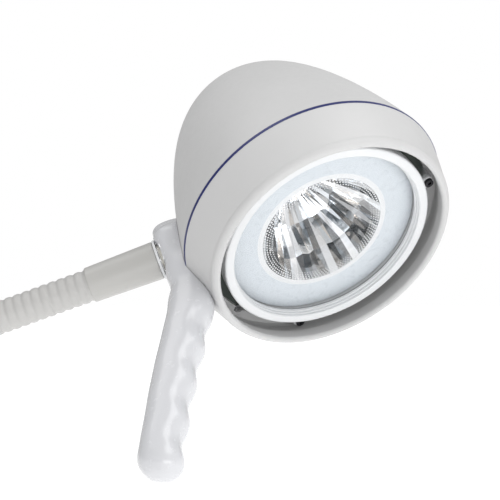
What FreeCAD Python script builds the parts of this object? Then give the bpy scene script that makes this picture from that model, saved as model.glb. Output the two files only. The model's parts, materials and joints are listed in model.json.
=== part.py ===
import FreeCAD, Part
import math
import os

from FreeCAD import Matrix, Placement, Rotation, Vector

# Surgical examination light: bell-shaped head, pistol grip, gooseneck and mounting spigot.
# Millimetres, +Z up.  The origin is the shoulder of the base, where the spigot leaves it.

os.makedirs("parts", exist_ok=True)

# ---- driving dimensions -------------------------------------------------------------------

# Head, in its own frame: +Z points to the back of the lamp, Z = 0 is the plane of the mouth,
# +X points to the arm, and the plane Y = 0 halves the head, the grip and the arm.
SEAM_R = 84.4           # widest radius, at the blue seam
SEAM_Z = 28.7
SEAM_HALF = 0.55        # half the width of the blue edge that shows
DOME_LENGTH = 129.5
DOME_FLATNESS = 3.0     # exponents of the bell curve
DOME_SHOULDER = 1.16
WALL = 2.6
BAND_R = SEAM_R - WALL - 0.2    # outside of the accent ring's locating band
BAND_T = 1.8
BAND_TOP = 33.0
LEDGE_Z = 25.7          # step in the collar under the band
MOUTH_R = 72.0
LIP_R = 77.4
LIP_Z = 4.5
COLLAR_MID_R = 80.7
COLLAR_MID_Z = 15.0

RING_R = 66.4           # white ring that holds the glass
RING_Z = 8.8
RING_LIP_R = 59.8
RING_PAD_T = 2.6
GLASS_R = 61.5
GLASS_Z = 15.6
GLASS_T = 3.0
SEAL_T = 0.7
MASK_T = 0.3
WINDOW_R = 42.3         # clear window inside the printed border
LUG_R = 70.0            # circle of the three lug screws
LUG_Z = 14.0            # front of the lugs
LUG_ANGLES = (55.4, 175.4, 295.4)

CHASSIS_Z = 24.5
CHASSIS_T = 3.5
CHASSIS_HOLE_R = 49.6
REFLECTOR_R = 48.0
REFLECTOR_RIM_R = 61.0
REFLECTOR_RIM_T = 1.0
REFLECTOR_Z = GLASS_Z + GLASS_T + MASK_T + REFLECTOR_RIM_T
REFLECTOR_DEPTH = 54.3
REFLECTOR_WALL = 1.0
NECK_HOLE_R = 8.0       # hole at the back of the reflector, for the light source
PLATE_Z = 75.0          # plate that carries the light source and the heat sink
PLATE_T = 3.0
POST_R = 54.0
SINK_R = 36.0
SINK_FIN_TOP = 27.0
BOARD_Z = 116.0

POLE_Z = SEAM_Z + DOME_LENGTH
BEZEL_R = 10.0
SWITCH_R = 8.0          # panel push button at the back of the dome
CAP_R = 6.3

# Arm: its axis leaves the head axis at ARM_Z, tipped back by ARM_TIP degrees.
ARM_Z = 44.0
ARM_TIP = 6.0
BOSS_TOP = 24.0         # height of the grip's boss above the arm's axis, and half its width
BOSS_HALF = 17.6
BOSS_BACK = 95.2        # distance of the grip's back face from the head axis
SHAFT_R = 6.0
BUSH_CLEARANCE = 0.05
SLEEVE_START = 96.9
SLEEVE_END = 142.0
SLEEVE_R = 12.0
SLEEVE_END_R = 11.1

# Grip
GRIP_LEAN = math.degrees(math.atan2(0.517, 0.857))   # angle between the grip and the light axis
FINGER_PITCH = 24.2
FIRST_PEAK = 41.0
FINGERS = 4
FINGER_DEPTH = 2.6
GRIP_LENGTH = 148.2
GRIP_WALL = 2.8
SHELL_GAP = 0.25        # fine gap between the grip and the shell

# Gooseneck
NECK_JOINTS = 10
STRAIGHT_LINKS = 2      # the neck runs straight for this many links before the head
LINK = 39.2             # distance from one ball joint to the next
NECK_R = 10.2
RIB_DEPTH = 0.8
RIBS_PER_LINK = 6
BALL_R = 6.0
CUP_R = 6.35
STEM_R = 3.2
LEAD_BORE_R = 2.0
LINK_START = -3.4
LINK_BACK = 7.2         # how far a link's body stops short of its ball centre
FIRST_JOINT_Z = 62.0
ARM_HEADING = 1.8       # direction of the arm in plan, from +X towards +Y
ARM_RISE = 19.9         # elevation of the arm where it meets the head

# Base
SPIGOT_R = 8.0
SHANK_R = 7.6           # the spigot inside the ferrule
RELIEF = 2.0            # groove below the ferrule
MOUTH_BORE_R = 8.6      # countersink in the ferrule's lower face
SPIGOT_LENGTH = 50.0
FERRULE_R = 13.0
FERRULE_HEIGHT = 45.0

# How the head is held
LIGHT_YAW = 28.6        # light direction in plan, from -Y towards +X
LIGHT_DROP = 39.1       # degrees below the horizontal
HEAD_ROLL = 32.3        # the arm side, below the horizontal, measured in the mouth plane

X = Vector(1, 0, 0)
Y = Vector(0, 1, 0)
Z = Vector(0, 0, 1)
ORIGIN = Vector(0, 0, 0)


# ---- helpers ------------------------------------------------------------------------------

def polar(radius, degrees, z=0.0):
    """Point on a circle about Z."""
    angle = math.radians(degrees)
    return Vector(radius * math.cos(angle), radius * math.sin(angle), z)


def turned(edges):
    """Solid of revolution about Z from a closed outline in the XZ plane."""
    face = Part.Face(Part.Wire(edges))
    solid = face.revolve(ORIGIN, Z, 360)
    if solid.ShapeType != "Solid":
        solid = Part.Solid(solid.Shells[0])
    if solid.Volume < 0:
        solid.reverse()
    return solid


def lines(points):
    """Straight edges through (radius, height) pairs."""
    spots = [Vector(r, 0, z) for r, z in points]
    return [Part.makeLine(a, b) for a, b in zip(spots, spots[1:])]


def closed(points):
    return lines(points + [points[0]])


def curve(points):
    """One smooth edge through (radius, height) pairs."""
    spline = Part.BSplineCurve()
    spline.interpolate([Vector(r, 0, z) for r, z in points])
    return spline.toShape()


def bow(start, middle, end):
    """Arc through three (radius, height) pairs."""
    return Part.Arc(*[Vector(r, 0, z) for r, z in (start, middle, end)]).toShape()


def ring(inner, outer, z0, z1):
    return turned(closed([(inner, z0), (outer, z0), (outer, z1), (inner, z1)]))


def rod(radius, start, end):
    return Part.makeCylinder(radius, (end - start).Length, start, end - start)


def tube(inner, outer, start, end):
    return rod(outer, start, end).cut(rod(inner, start, end))


def block(x0, x1, y0, y1, z0, z1):
    return Part.makeBox(x1 - x0, y1 - y0, z1 - z0, Vector(x0, y0, z0))


def around(shape, angles):
    """One solid, repeated about Z."""
    copies = []
    for angle in angles:
        copy = shape.copy()
        copy.rotate(ORIGIN, Z, angle)
        copies.append(copy)
    return copies


def frame_of(origin, x_axis, z_axis):
    """Placement with its Z along z_axis and its X as near x_axis as it can be."""
    z_axis = Vector(z_axis).normalize()
    y_axis = z_axis.cross(x_axis).normalize()
    x_axis = y_axis.cross(z_axis)
    matrix = Matrix(x_axis.x, y_axis.x, z_axis.x, origin.x,
                    x_axis.y, y_axis.y, z_axis.y, origin.y,
                    x_axis.z, y_axis.z, z_axis.z, origin.z,
                    0, 0, 0, 1)
    return Placement(matrix)


def moved(shape, placement):
    copy = shape.copy()
    copy.transformShape(placement.toMatrix(), False)
    return copy


def save(name, shape, placement=Placement()):
    solids = [moved(solid, placement) for solid in shape.Solids]
    whole = solids[0] if len(solids) == 1 else Part.makeCompound(solids)
    for solid in solids:
        if not solid.isValid() or solid.Volume <= 0:
            print("unsound solid in", name)
    whole.exportStep("parts/" + name + ".step")


def cap_screw(radius, length, head_r, head_h, socket_r):
    """Screw with its head on top of Z = 0, its shank going down, and a hexagon socket."""
    body = rod(radius, Vector(0, 0, -length), Vector(0, 0, 0.1)).fuse(
        rod(head_r, ORIGIN, Vector(0, 0, head_h)))
    corners = [polar(socket_r, 60 * i, head_h) for i in range(7)]
    socket = Part.Face(Part.makePolygon(corners)).extrude(Vector(0, 0, -0.6 * head_h))
    return body.removeSplitter().cut(socket)


def glide(rows, t):
    """Smooth curve through rows of (t, value, value ...), for every value at once."""
    k = 0
    while k < len(rows) - 2 and t > rows[k + 1][0]:
        k += 1
    low, high = rows[k], rows[k + 1]
    before = rows[max(k - 1, 0)]
    after = rows[min(k + 2, len(rows) - 1)]
    span = high[0] - low[0]
    s = (t - low[0]) / span
    values = []
    for j in range(1, len(low)):
        slope_low = (high[j] - before[j]) / (high[0] - before[0]) * span
        slope_high = (after[j] - low[j]) / (after[0] - low[0]) * span
        values.append((2 * s**3 - 3 * s**2 + 1) * low[j] + (s**3 - 2 * s**2 + s) * slope_low
                      + (3 * s**2 - 2 * s**3) * high[j] + (s**3 - s**2) * slope_high)
    return values


# ---- where the arm and the head are -------------------------------------------------------

heading = polar(1.0, ARM_HEADING)
side = heading.cross(Z)
elevations = [90.0]
for joint in range(1, NECK_JOINTS + 1):
    turned_so_far = min(joint / (NECK_JOINTS - STRAIGHT_LINKS), 1.0)
    share = math.sin(math.pi / 2 * turned_so_far) ** 2
    elevations.append(90.0 - (90.0 - ARM_RISE) * share)


def rising(elevation):
    angle = math.radians(elevation)
    return heading * math.cos(angle) + Z * math.sin(angle)


joints = [Vector(0, 0, FIRST_JOINT_Z)]
for elevation in elevations[1:-1]:
    joints.append(joints[-1] + rising(elevation) * LINK)

yaw = math.radians(LIGHT_YAW)
drop = math.radians(LIGHT_DROP)
light = Vector(math.sin(yaw) * math.cos(drop), -math.cos(yaw) * math.cos(drop), -math.sin(drop))
level = Vector(-math.cos(yaw), -math.sin(yaw), 0)
down = light.cross(level)
if down.z > 0:
    down = down * -1
roll = math.radians(HEAD_ROLL)
arm_side = level * math.cos(roll) + down * math.sin(roll)

tip = math.radians(ARM_TIP)
arm_local = Vector(math.cos(tip), 0, math.sin(tip))
arm_across = Vector(-math.sin(tip), 0, math.cos(tip))
arm_world = arm_side * math.cos(tip) - light * math.sin(tip)
ARM_START = 147.0       # last ball joint, from the head axis
arm_root = joints[-1] - arm_world * ARM_START
head_origin = arm_root + light * ARM_Z
HEAD = frame_of(head_origin, arm_side, light * -1)


def on_arm(distance, across=0.0, y=0.0):
    """Point in the head's frame, at a distance from the head axis along the arm."""
    return Vector(0, y, ARM_Z) + arm_local * distance + arm_across * across


ARM = frame_of(on_arm(0), arm_across * -1, arm_local)


def arm_turned(points):
    """Turned piece on the arm's axis; heights are distances from the head axis."""
    return moved(turned(closed(points)), ARM)


# ---- shells of the head -------------------------------------------------------------------

def dome_curve(radius, length, z_start=SEAM_Z, steps=14):
    """Points of the bell curve from the seam to the pole."""
    points = []
    for i in range(steps + 1):
        e = math.sin(math.pi / 2 * i / steps) ** 1.6
        r = radius * max(1 - e**DOME_SHOULDER, 0) ** (1 / DOME_FLATNESS)
        points.append((r, z_start + length * e))
    return points


def dome_solid(radius, length, z_start):
    points = dome_curve(radius, length, z_start)
    return turned([curve(points)] + lines([points[-1], (0, z_start), points[0]]))


def collar_edge(grow=0.0):
    return bow((SEAM_R + grow, SEAM_Z - SEAM_HALF), (COLLAR_MID_R + grow, COLLAR_MID_Z),
               (LIP_R + grow, LIP_Z))


SWITCH_HOLE_R = SWITCH_R + 0.2
SCREW_ANGLES = (30.0, 150.0, 270.0)     # chassis into collar
BOSS_ANGLES = (90.0, 210.0, 330.0)      # chassis into dome
FIX_R = 75.5            # circle of the screws into the collar
BOSS_FIX_R = 73.0       # circle of the screws into the dome
SCREW_PILOT_R = 1.3
SCREW_CLEAR_R = 1.65
LUG_PILOT_R = 1.25
HEAD_ROOM_R = 3.3       # pockets in the collar for the heads of the dome screws
PORT_R = 11.0           # way through the dome for the bearing housing


def rear_dome():
    base = SEAM_Z + SEAM_HALF
    outer = dome_solid(SEAM_R, SEAM_Z + DOME_LENGTH - base, base)
    inner = dome_solid(SEAM_R - WALL, SEAM_Z + DOME_LENGTH - base - WALL, base - 0.01)
    shell = outer.cut(inner)
    shell = shell.cut(rod(BAND_R + 0.1, Z * LEDGE_Z, Z * (BAND_TOP + 0.4)))
    foot = Vector(BOSS_FIX_R, 0, CHASSIS_Z + CHASSIS_T + 0.2)
    boss = rod(4.2, foot, Vector(BOSS_FIX_R, 0, 66))
    rib = block(FIX_R - 2, SEAM_R - 1, -0.8, 0.8, 32, 60)
    post = boss.fuse(rib).common(outer)
    post = post.cut(rod(SCREW_PILOT_R, foot, Vector(BOSS_FIX_R, 0, 64)))
    post = post.cut(ring(BAND_R - BAND_T - 0.4, 90.0, 20, 34))
    for copy in around(post, BOSS_ANGLES):
        shell = shell.fuse(copy)
    shell = shell.cut(rod(SWITCH_HOLE_R, Vector(0, 0, 130), Vector(0, 0, 160)))
    shell = shell.cut(rod(BEZEL_R + 0.4, Z * POLE_Z, Z * (POLE_Z + 5)))
    shell = shell.cut(rod(PORT_R, on_arm(60), on_arm(100)))
    return shell



def accent_ring():
    """T-section ring: the blue edge shows in the seam, the band behind it locates both shells."""
    low = SEAM_Z - SEAM_HALF
    high = SEAM_Z + SEAM_HALF
    proud = SEAM_R + 0.15
    return turned(closed([(BAND_R - BAND_T, LEDGE_Z + 0.4), (BAND_R, LEDGE_Z + 0.4), (BAND_R, low),
                          (proud, low), (proud, high), (BAND_R, high), (BAND_R, BAND_TOP),
                          (BAND_R - BAND_T, BAND_TOP)]))


FRONT_R = 74.2          # foremost circle of the lip
SHELF_Z = 22.0          # front of the inner flange that the chassis is screwed to


def front_collar():
    outline = [collar_edge(),
               bow((LIP_R, LIP_Z), (76.45, 1.55), (FRONT_R, 0.0)),
               bow((FRONT_R, 0.0), (72.6, 0.7), (MOUTH_R, 2.4))]
    low = SEAM_Z - SEAM_HALF
    outline += lines([(MOUTH_R, 2.4), (73.4, 9.0), (77.2, 18.0), (78.3, SHELF_Z), (72.5, SHELF_Z),
                      (72.5, CHASSIS_Z), (BAND_R - BAND_T - 0.4, CHASSIS_Z),
                      (BAND_R - BAND_T - 0.4, LEDGE_Z), (BAND_R + 0.1, LEDGE_Z),
                      (BAND_R + 0.1, low), (SEAM_R, low)])
    shell = turned(outline)
    for angle in SCREW_ANGLES:
        spot = polar(FIX_R, angle)
        shell = shell.cut(rod(LUG_PILOT_R, spot + Z * 20, spot + Z * 30))
    for angle in BOSS_ANGLES:
        spot = polar(BOSS_FIX_R, angle)
        shell = shell.cut(rod(HEAD_ROOM_R, spot + Z * 20, spot + Z * CHASSIS_Z))
    return shell


def chassis_ring():
    """Cast ring behind the glass; the shells, the lens ring and the light source fix to it."""
    body = ring(CHASSIS_HOLE_R, BAND_R - BAND_T - 0.7, CHASSIS_Z, CHASSIS_Z + CHASSIS_T)
    holes = [(LUG_ANGLES, POST_R, 1.6), (LUG_ANGLES, LUG_R, LUG_PILOT_R),
             (SCREW_ANGLES, FIX_R, SCREW_CLEAR_R), (BOSS_ANGLES, BOSS_FIX_R, SCREW_CLEAR_R)]
    for angles, circle, radius in holes:
        for angle in angles:
            spot = polar(circle, angle)
            body = body.cut(rod(radius, spot + Z * 20, spot + Z * 30))
    return body


def lug_spacers():
    """Blocks that hold the lens ring's lugs off the chassis."""
    spacer = block(RING_R + 0.2, 72.2, -4.0, 4.0, LUG_Z + RING_PAD_T, CHASSIS_Z)
    spacer = spacer.cut(rod(LUG_PILOT_R, Vector(LUG_R, 0, 0), Vector(LUG_R, 0, 30)))
    return Part.makeCompound(around(spacer, LUG_ANGLES))


def chassis_screws():
    screw = cap_screw(1.2, 5.5, 2.8, 2.0, 1.4)
    screw.translate(Vector(FIX_R, 0, CHASSIS_Z + CHASSIS_T))
    return Part.makeCompound(around(screw, SCREW_ANGLES))


def dome_screws():
    screw = cap_screw(1.25, 12.0, 2.8, 1.9, 1.4)
    screw.rotate(ORIGIN, X, 180)
    screw.translate(Vector(BOSS_FIX_R, 0, CHASSIS_Z))
    return Part.makeCompound(around(screw, BOSS_ANGLES))


# ---- glass and its ring -------------------------------------------------------------------

def lug_outline(half_width, reach, z0, z1):
    """U-shaped pad that points outwards along X."""
    start = LUG_R - reach
    pad = block(start, LUG_R, -half_width, half_width, z0, z1)
    return pad.fuse(rod(half_width, Vector(LUG_R, 0, z0), Vector(LUG_R, 0, z1)))


def lens_ring():
    """White ring: stepped inner wall, a lip under the glass, and three slotted lugs."""
    seat = GLASS_Z - SEAL_T
    outline = [bow((RING_R, RING_Z + 1.2), (RING_R - 0.35, RING_Z + 0.35),
                   (RING_R - 1.2, RING_Z))]
    outline += lines([(RING_R - 1.2, RING_Z), (61.2, RING_Z), (60.6, RING_Z + 0.6),
                      (60.6, RING_Z + 2.1), (60.2, RING_Z + 2.4), (60.2, RING_Z + 4.1),
                      (RING_LIP_R, RING_Z + 4.4), (RING_LIP_R, seat), (GLASS_R + 0.3, seat),
                      (GLASS_R + 0.3, CHASSIS_Z), (RING_R - 1.5, CHASSIS_Z),
                      (RING_R, CHASSIS_Z - 6.0), (RING_R, RING_Z + 1.2)])
    body = turned(outline)
    pad = lug_outline(3.9, 6.0, LUG_Z, LUG_Z + RING_PAD_T)
    slot = rod(1.7, Vector(LUG_R, 0, LUG_Z - 1), Vector(LUG_R, 0, LUG_Z + 5)).fuse(
        block(LUG_R, LUG_R + 6, -1.7, 1.7, LUG_Z - 1, LUG_Z + 5))
    for copy in around(pad, LUG_ANGLES):
        body = body.fuse(copy)
    for copy in around(slot, LUG_ANGLES):
        body = body.cut(copy)
    return body.removeSplitter()


def lens_screws():
    length = CHASSIS_Z + 3.0 - LUG_Z
    screw = cap_screw(LUG_PILOT_R, length, 2.75, 2.0, 1.35)
    screw.rotate(ORIGIN, X, 180)
    screw.translate(Vector(LUG_R, 0, LUG_Z))
    return Part.makeCompound(around(screw, LUG_ANGLES))


def glass_gasket():
    return ring(RING_LIP_R + 0.3, GLASS_R, GLASS_Z - SEAL_T, GLASS_Z)


def cover_glass():
    chamfer = 0.3
    return turned(closed([(0, GLASS_Z), (GLASS_R - chamfer, GLASS_Z), (GLASS_R, GLASS_Z + chamfer),
                          (GLASS_R, GLASS_Z + GLASS_T), (0, GLASS_Z + GLASS_T)]))


def glass_mask():
    """Printed border behind the glass."""
    back = GLASS_Z + GLASS_T
    return ring(WINDOW_R, GLASS_R, back, back + MASK_T)


# ---- light source -------------------------------------------------------------------------

def reflector_radius(z):
    return REFLECTOR_R * math.sqrt((REFLECTOR_Z + REFLECTOR_DEPTH - z) / REFLECTOR_DEPTH)


def reflector():
    """Deep parabolic bowl with a flat rim that is clamped between glass and chassis."""
    steps = 9
    top = REFLECTOR_Z + REFLECTOR_DEPTH * (1 - (NECK_HOLE_R / REFLECTOR_R) ** 2)
    inner = []
    outer = []
    for i in range(steps + 1):
        z = REFLECTOR_Z + (top - REFLECTOR_Z) * math.sin(math.pi / 2 * i / steps)
        inner.append((reflector_radius(z), z))
        outer.append((reflector_radius(z) + REFLECTOR_WALL, z))
    front = REFLECTOR_Z - REFLECTOR_RIM_T
    edges = [curve(inner)] + lines([inner[-1], outer[-1]]) + [curve(outer[::-1])]
    edges += lines([outer[0], (REFLECTOR_RIM_R, REFLECTOR_Z), (REFLECTOR_RIM_R, front),
                    (REFLECTOR_R, front), inner[0]])
    return turned(edges)


def rim_gasket():
    """Soft ring that presses the reflector's rim against the glass border."""
    return ring(CHASSIS_HOLE_R + 0.9, REFLECTOR_RIM_R - 0.5, REFLECTOR_Z, CHASSIS_Z)


def support_posts():
    z0 = CHASSIS_Z + CHASSIS_T
    post = Part.Face(Part.makePolygon([polar(4.0, 60 * i, z0) for i in range(7)]))
    post = post.extrude(Z * (PLATE_Z - z0))
    post.translate(Vector(POST_R, 0, 0))
    return Part.makeCompound(around(post, LUG_ANGLES))


def sink_plate():
    plate = rod(40, Z * PLATE_Z, Z * (PLATE_Z + PLATE_T))
    arm = block(20, POST_R, -7, 7, PLATE_Z, PLATE_Z + PLATE_T).fuse(
        rod(7, Vector(POST_R, 0, PLATE_Z), Vector(POST_R, 0, PLATE_Z + PLATE_T)))
    plate = plate.fuse(around(arm, LUG_ANGLES))
    hole = rod(1.6, Vector(POST_R, 0, PLATE_Z - 1), Vector(POST_R, 0, PLATE_Z + PLATE_T + 1))
    return plate.cut(around(hole, LUG_ANGLES)).removeSplitter()


def plate_screws():
    """Screws through the plate into the posts."""
    top = cap_screw(1.55, 2.9, 2.8, 2.0, 1.4)
    top.translate(Vector(POST_R, 0, PLATE_Z + PLATE_T))
    return Part.makeCompound(around(top, LUG_ANGLES))


LED_BOARD_Z = 73.4


def led_board():
    return rod(15.0, Z * LED_BOARD_Z, Z * PLATE_Z)


def led_emitter():
    """Chip-on-board source with its clear dome, looking into the reflector."""
    z = LED_BOARD_Z - 1.0
    dome = Part.makeSphere(5.0, Z * z).common(block(-9, 9, -9, 9, z - 9, z))
    return rod(6.5, Z * z, Z * LED_BOARD_Z).fuse(dome).removeSplitter()


def heat_sink():
    base_z = PLATE_Z + PLATE_T
    body = rod(SINK_R, Z * base_z, Z * (base_z + 4))
    fins = []
    for i in range(-4, 5):
        x = 6.0 * i
        half = math.sqrt((SINK_R - 1) ** 2 - x**2)
        fins.append(block(x - 0.9, x + 0.9, -half, half, base_z + 3.5, base_z + 4 + SINK_FIN_TOP))
    return body.fuse(fins).removeSplitter()


STANDOFF_X = 30.0
STANDOFF_Y = 13.0


def corners():
    return [Vector(x, y, 0) for x in (-STANDOFF_X, STANDOFF_X) for y in (-STANDOFF_Y, STANDOFF_Y)]


def board_standoffs():
    z0 = PLATE_Z + PLATE_T + 4
    return Part.makeCompound([rod(2.5, spot + Z * z0, spot + Z * BOARD_Z) for spot in corners()])


def driver_board():
    return block(-34, 34, -17, 17, BOARD_Z, BOARD_Z + 1.6)


def board_screws():
    screws = []
    for spot in corners():
        screw = rod(2.4, spot + Z * (BOARD_Z + 1.6), spot + Z * (BOARD_Z + 3.2))
        screws.append(screw)
    return Part.makeCompound(screws)


def driver_parts():
    """Coil, capacitors, controller and terminal block on the board."""
    z = BOARD_Z + 1.6
    coil = rod(6.0, Vector(-14, 0, z), Vector(-14, 0, z + 7))
    caps = [rod(3.2, Vector(-1, y, z), Vector(-1, y, z + 9)) for y in (-8, 8)]
    chip = block(5, 12, -3.5, 3.5, z, z + 1.5)
    terminal = block(17, 25, -6, 6, z, z + 8)
    return Part.makeCompound([coil, chip, terminal] + caps)


# ---- push button --------------------------------------------------------------------------

BEZEL_T = 1.8
SWITCH_DEPTH = 18.0


def switch_body():
    """Bezel outside the dome, threaded barrel through it, closed at its inner end."""
    z0 = POLE_Z
    return turned(closed([(0, z0 - SWITCH_DEPTH), (SWITCH_R, z0 - SWITCH_DEPTH), (SWITCH_R, z0),
                          (BEZEL_R, z0), (BEZEL_R, z0 + 1.0), (BEZEL_R - 0.8, z0 + BEZEL_T),
                          (CAP_R + 0.3, z0 + BEZEL_T), (CAP_R + 0.3, z0 - 6.0),
                          (0, z0 - 6.0)]))


def power_button():
    z0 = POLE_Z
    dish = 0.35
    edges = lines([(0, z0 - 4.0), (CAP_R, z0 - 4.0), (CAP_R, z0 + 2.6)])
    edges += [bow((CAP_R, z0 + 2.6), (CAP_R - 0.25, z0 + 3.15), (CAP_R - 0.8, z0 + 3.4))]
    edges += lines([(CAP_R - 0.8, z0 + 3.4), (CAP_R - 1.4, z0 + 3.4), (CAP_R - 2.2, z0 + 3.4 - dish),
                    (0, z0 + 3.4 - dish), (0, z0 - 4.0)])
    return turned(edges)


def switch_nut():
    z1 = POLE_Z - WALL - 0.6
    face = Part.Face(Part.makePolygon([polar(12.0, 60 * i, z1 - 3) for i in range(7)]))
    return face.extrude(Z * 3).cut(rod(SWITCH_R, Z * (z1 - 4), Z * (z1 + 1)))


# ---- grip ---------------------------------------------------------------------------------

lean = math.radians(GRIP_LEAN)
GRIP_AXIS = Vector(math.sin(lean), 0, -math.cos(lean))
FINGER_SIDE = Vector(-math.cos(lean), 0, -math.sin(lean))
GRIP_ROOT = Vector(89.5, 0, 48.4)
GRIP_END_ROUND = 11.5
SECTION_POINTS = 16

# Along the grip: distance, back edge and front edge towards the fingers, half width.
GRIP_ROWS = [(36.0, 6.2, 33.4, 12.9), (46.0, 7.2, 33.4, 12.9), (66.0, 7.4, 33.2, 12.8),
             (90.0, 7.8, 32.9, 12.6), (114.0, 9.2, 33.7, 12.4), (137.0, 10.6, 35.5, 12.2),
             (150.0, 11.4, 36.8, 12.0)]
# Between boss and grip: distance, back edge (x, z), direction of the section, depth, half width.
NECK_ROWS = [(0.0, 94.7, 53.9, 186.0, 22.0, 16.6), (13.7, 95.7, 38.6, 193.0, 23.0, 13.4),
             (21.0, 97.2, 29.0, 199.0, 24.0, 11.8), (29.0, 99.6, 20.0, 206.0, 25.5, 12.2)]


def section(back, direction, depth, half_width, squareness):
    """Closed superellipse between its back point and its front point."""
    middle = back + direction * (depth / 2)
    power = 2 / squareness
    points = []
    for i in range(SECTION_POINTS):
        angle = 2 * math.pi * i / SECTION_POINTS
        along = math.copysign(abs(math.cos(angle)) ** power, math.cos(angle))
        sideways = math.copysign(abs(math.sin(angle)) ** power, math.sin(angle))
        points.append(middle - direction * (depth / 2 * along) + Y * (half_width * sideways))
    spline = Part.BSplineCurve()
    spline.interpolate(points, PeriodicFlag=True)
    return Part.Wire(spline.toShape())


def scallop(t):
    """Depth of the finger grooves, at a distance along the grip."""
    last = FIRST_PEAK + FINGERS * FINGER_PITCH
    if t <= FIRST_PEAK or t >= last:
        return 0.0
    return FINGER_DEPTH * (0.5 - 0.5 * math.cos(2 * math.pi * (t - FIRST_PEAK) / FINGER_PITCH))


def grip_section(t, inset):
    """Section across the grip; a hollow's section has no finger grooves."""
    back, front, half = glide(GRIP_ROWS, t)
    front -= FINGER_DEPTH if inset else scallop(t)
    end = GRIP_LENGTH - inset
    into_end = max(t - end + GRIP_END_ROUND, 0.0) / GRIP_END_ROUND
    shrink = math.sqrt(1 - into_end**2)
    reach = ((front - back) / 2 - inset) * shrink
    spot = GRIP_ROOT + GRIP_AXIS * t + FINGER_SIDE * ((back + front) / 2 - reach)
    return section(spot, FINGER_SIDE, 2 * reach, (half - inset) * shrink, 2.3)


def grip_loft(inset):
    """Boss, saddle and grip in one smooth body, drawn in by an inset for the hollow."""
    wires = []
    top = BOSS_TOP - inset
    half = BOSS_HALF - inset
    corner = 5.0
    for share in (0.985, 0.9, 0.75, 0.45):
        u = top * share
        into_corner = max(u - top + corner, 0.0)
        back = BOSS_BACK - inset - (corner - math.sqrt(corner**2 - into_corner**2))
        wires.append(section(on_arm(back, u), arm_local * -1, 24.0 - 2 * inset,
                             half * math.sqrt(1 - share**2), 2.6))
    for t, x, z, angle, depth, half in NECK_ROWS:
        turn = math.radians(angle)
        direction = Vector(math.cos(turn), 0, math.sin(turn))
        back = Vector(x, 0, z) + direction * inset
        wires.append(section(back, direction, depth - 2 * inset, half - inset, 2.6 - t * 0.006))
    end = GRIP_LENGTH - inset
    count = 18 if inset == 0 else 6
    start = GRIP_ROWS[0][0]
    step = (end - GRIP_END_ROUND - start) / count
    for i in range(count + 1):
        wires.append(grip_section(start + step * i, inset))
    for share in (0.3, 0.55, 0.75, 0.89, 0.96, 0.99):
        wires.append(grip_section(end - GRIP_END_ROUND * (1 - share), inset))
    return Part.makeLoft(wires, True, False)


def shell_envelope(grow):
    """Everything inside the head's outer surface, grown by a gap."""
    points = dome_curve(SEAM_R + grow, DOME_LENGTH + grow)
    outline = [curve(points)] + lines([points[-1], (0, 0)])
    outline += lines([(0, 0), (LIP_R + grow, 0.0), (LIP_R + grow, LIP_Z)])
    outline += [collar_edge(grow)]
    outline += lines([(SEAM_R + grow, SEAM_Z - SEAM_HALF), points[0]])
    return turned(outline)


HOUSING_R = 9.9
HOUSING_FLANGE_R = 12.6
HOUSING_FLANGE = (90.0, 93.0)
GRIP_SCREWS = ((57.0, 0.55), (128.0, 0.5))


def screw_spot(t, share):
    back, front, half = glide(GRIP_ROWS, t)
    return GRIP_ROOT + GRIP_AXIS * t + FINGER_SIDE * (back + (front - back) * share), half


def grip_halves():
    """Two hollow halves that meet in the plane Y = 0 and clamp the bearing housing."""
    outer = grip_loft(0.0).cut(shell_envelope(SHELL_GAP))
    outer = max(outer.Solids, key=lambda solid: solid.Volume)
    hollow = grip_loft(GRIP_WALL).cut(shell_envelope(SHELL_GAP + GRIP_WALL))
    hollow = hollow.cut(rod(HOUSING_FLANGE_R + 2.5, on_arm(70), on_arm(110)))
    for t, share in GRIP_SCREWS:
        spot, half = screw_spot(t, share)
        hollow = hollow.cut(rod(4.0, spot - Y * 30, spot + Y * 30))
    hollow = max(hollow.Solids, key=lambda solid: solid.Volume)
    body = outer.cut(hollow)
    cuts = [rod(HOUSING_R, on_arm(70), on_arm(HOUSING_FLANGE[0] + 0.1)),
            rod(HOUSING_FLANGE_R, on_arm(HOUSING_FLANGE[0]), on_arm(HOUSING_FLANGE[1])),
            rod(SLEEVE_R - 1.0, on_arm(HOUSING_FLANGE[1] - 0.1), on_arm(110)),
            rod(SLEEVE_R + 1.0, on_arm(BOSS_BACK), on_arm(120))]
    for t, share in GRIP_SCREWS:
        spot, half = screw_spot(t, share)
        cuts.append(rod(1.35, spot - Y * 20, spot + Y * 8))
        cuts.append(rod(2.9, spot - Y * 20, spot - Y * (half - 5.0)))
    for piece in cuts:
        body = body.cut(piece)
    big = 400
    near = body.common(block(-big, big, 0, big, -big, big))
    far = body.common(block(-big, big, -big, 0, -big, big))
    return near, far


def grip_screws():
    screws = []
    for t, share in GRIP_SCREWS:
        spot, half = screw_spot(t, share)
        screw = cap_screw(1.3, half - 5.0 + 7.5, 2.75, 1.9, 1.4)
        screws.append(moved(screw, frame_of(spot - Y * (half - 5.0), X, Y * -1)))
    return Part.makeCompound(screws)


# ---- swivel between grip and arm ----------------------------------------------------------

BUSH_R = SHAFT_R + 1.9
STOP_R = 13.0
STOP_PIN_R = 1.25


def bearing_housing():
    """Flanged tube: its flange sits in the grip, its thread passes into the dome."""
    return arm_turned([(BUSH_R, 72.0), (HOUSING_R, 72.0), (HOUSING_R, HOUSING_FLANGE[0]),
                       (HOUSING_FLANGE_R, HOUSING_FLANGE[0]), (HOUSING_FLANGE_R, HOUSING_FLANGE[1]),
                       (BUSH_R, HOUSING_FLANGE[1])])


def housing_nut():
    """Round nut inside the dome; it pulls the grip against the shell through the spacer."""
    nut = arm_turned([(HOUSING_R, 73.0), (16.0, 73.0), (16.0, 76.0), (HOUSING_R, 76.0)])
    return nut.cut(rod(STOP_PIN_R, on_arm(70, STOP_R), on_arm(80, STOP_R)))


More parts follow.
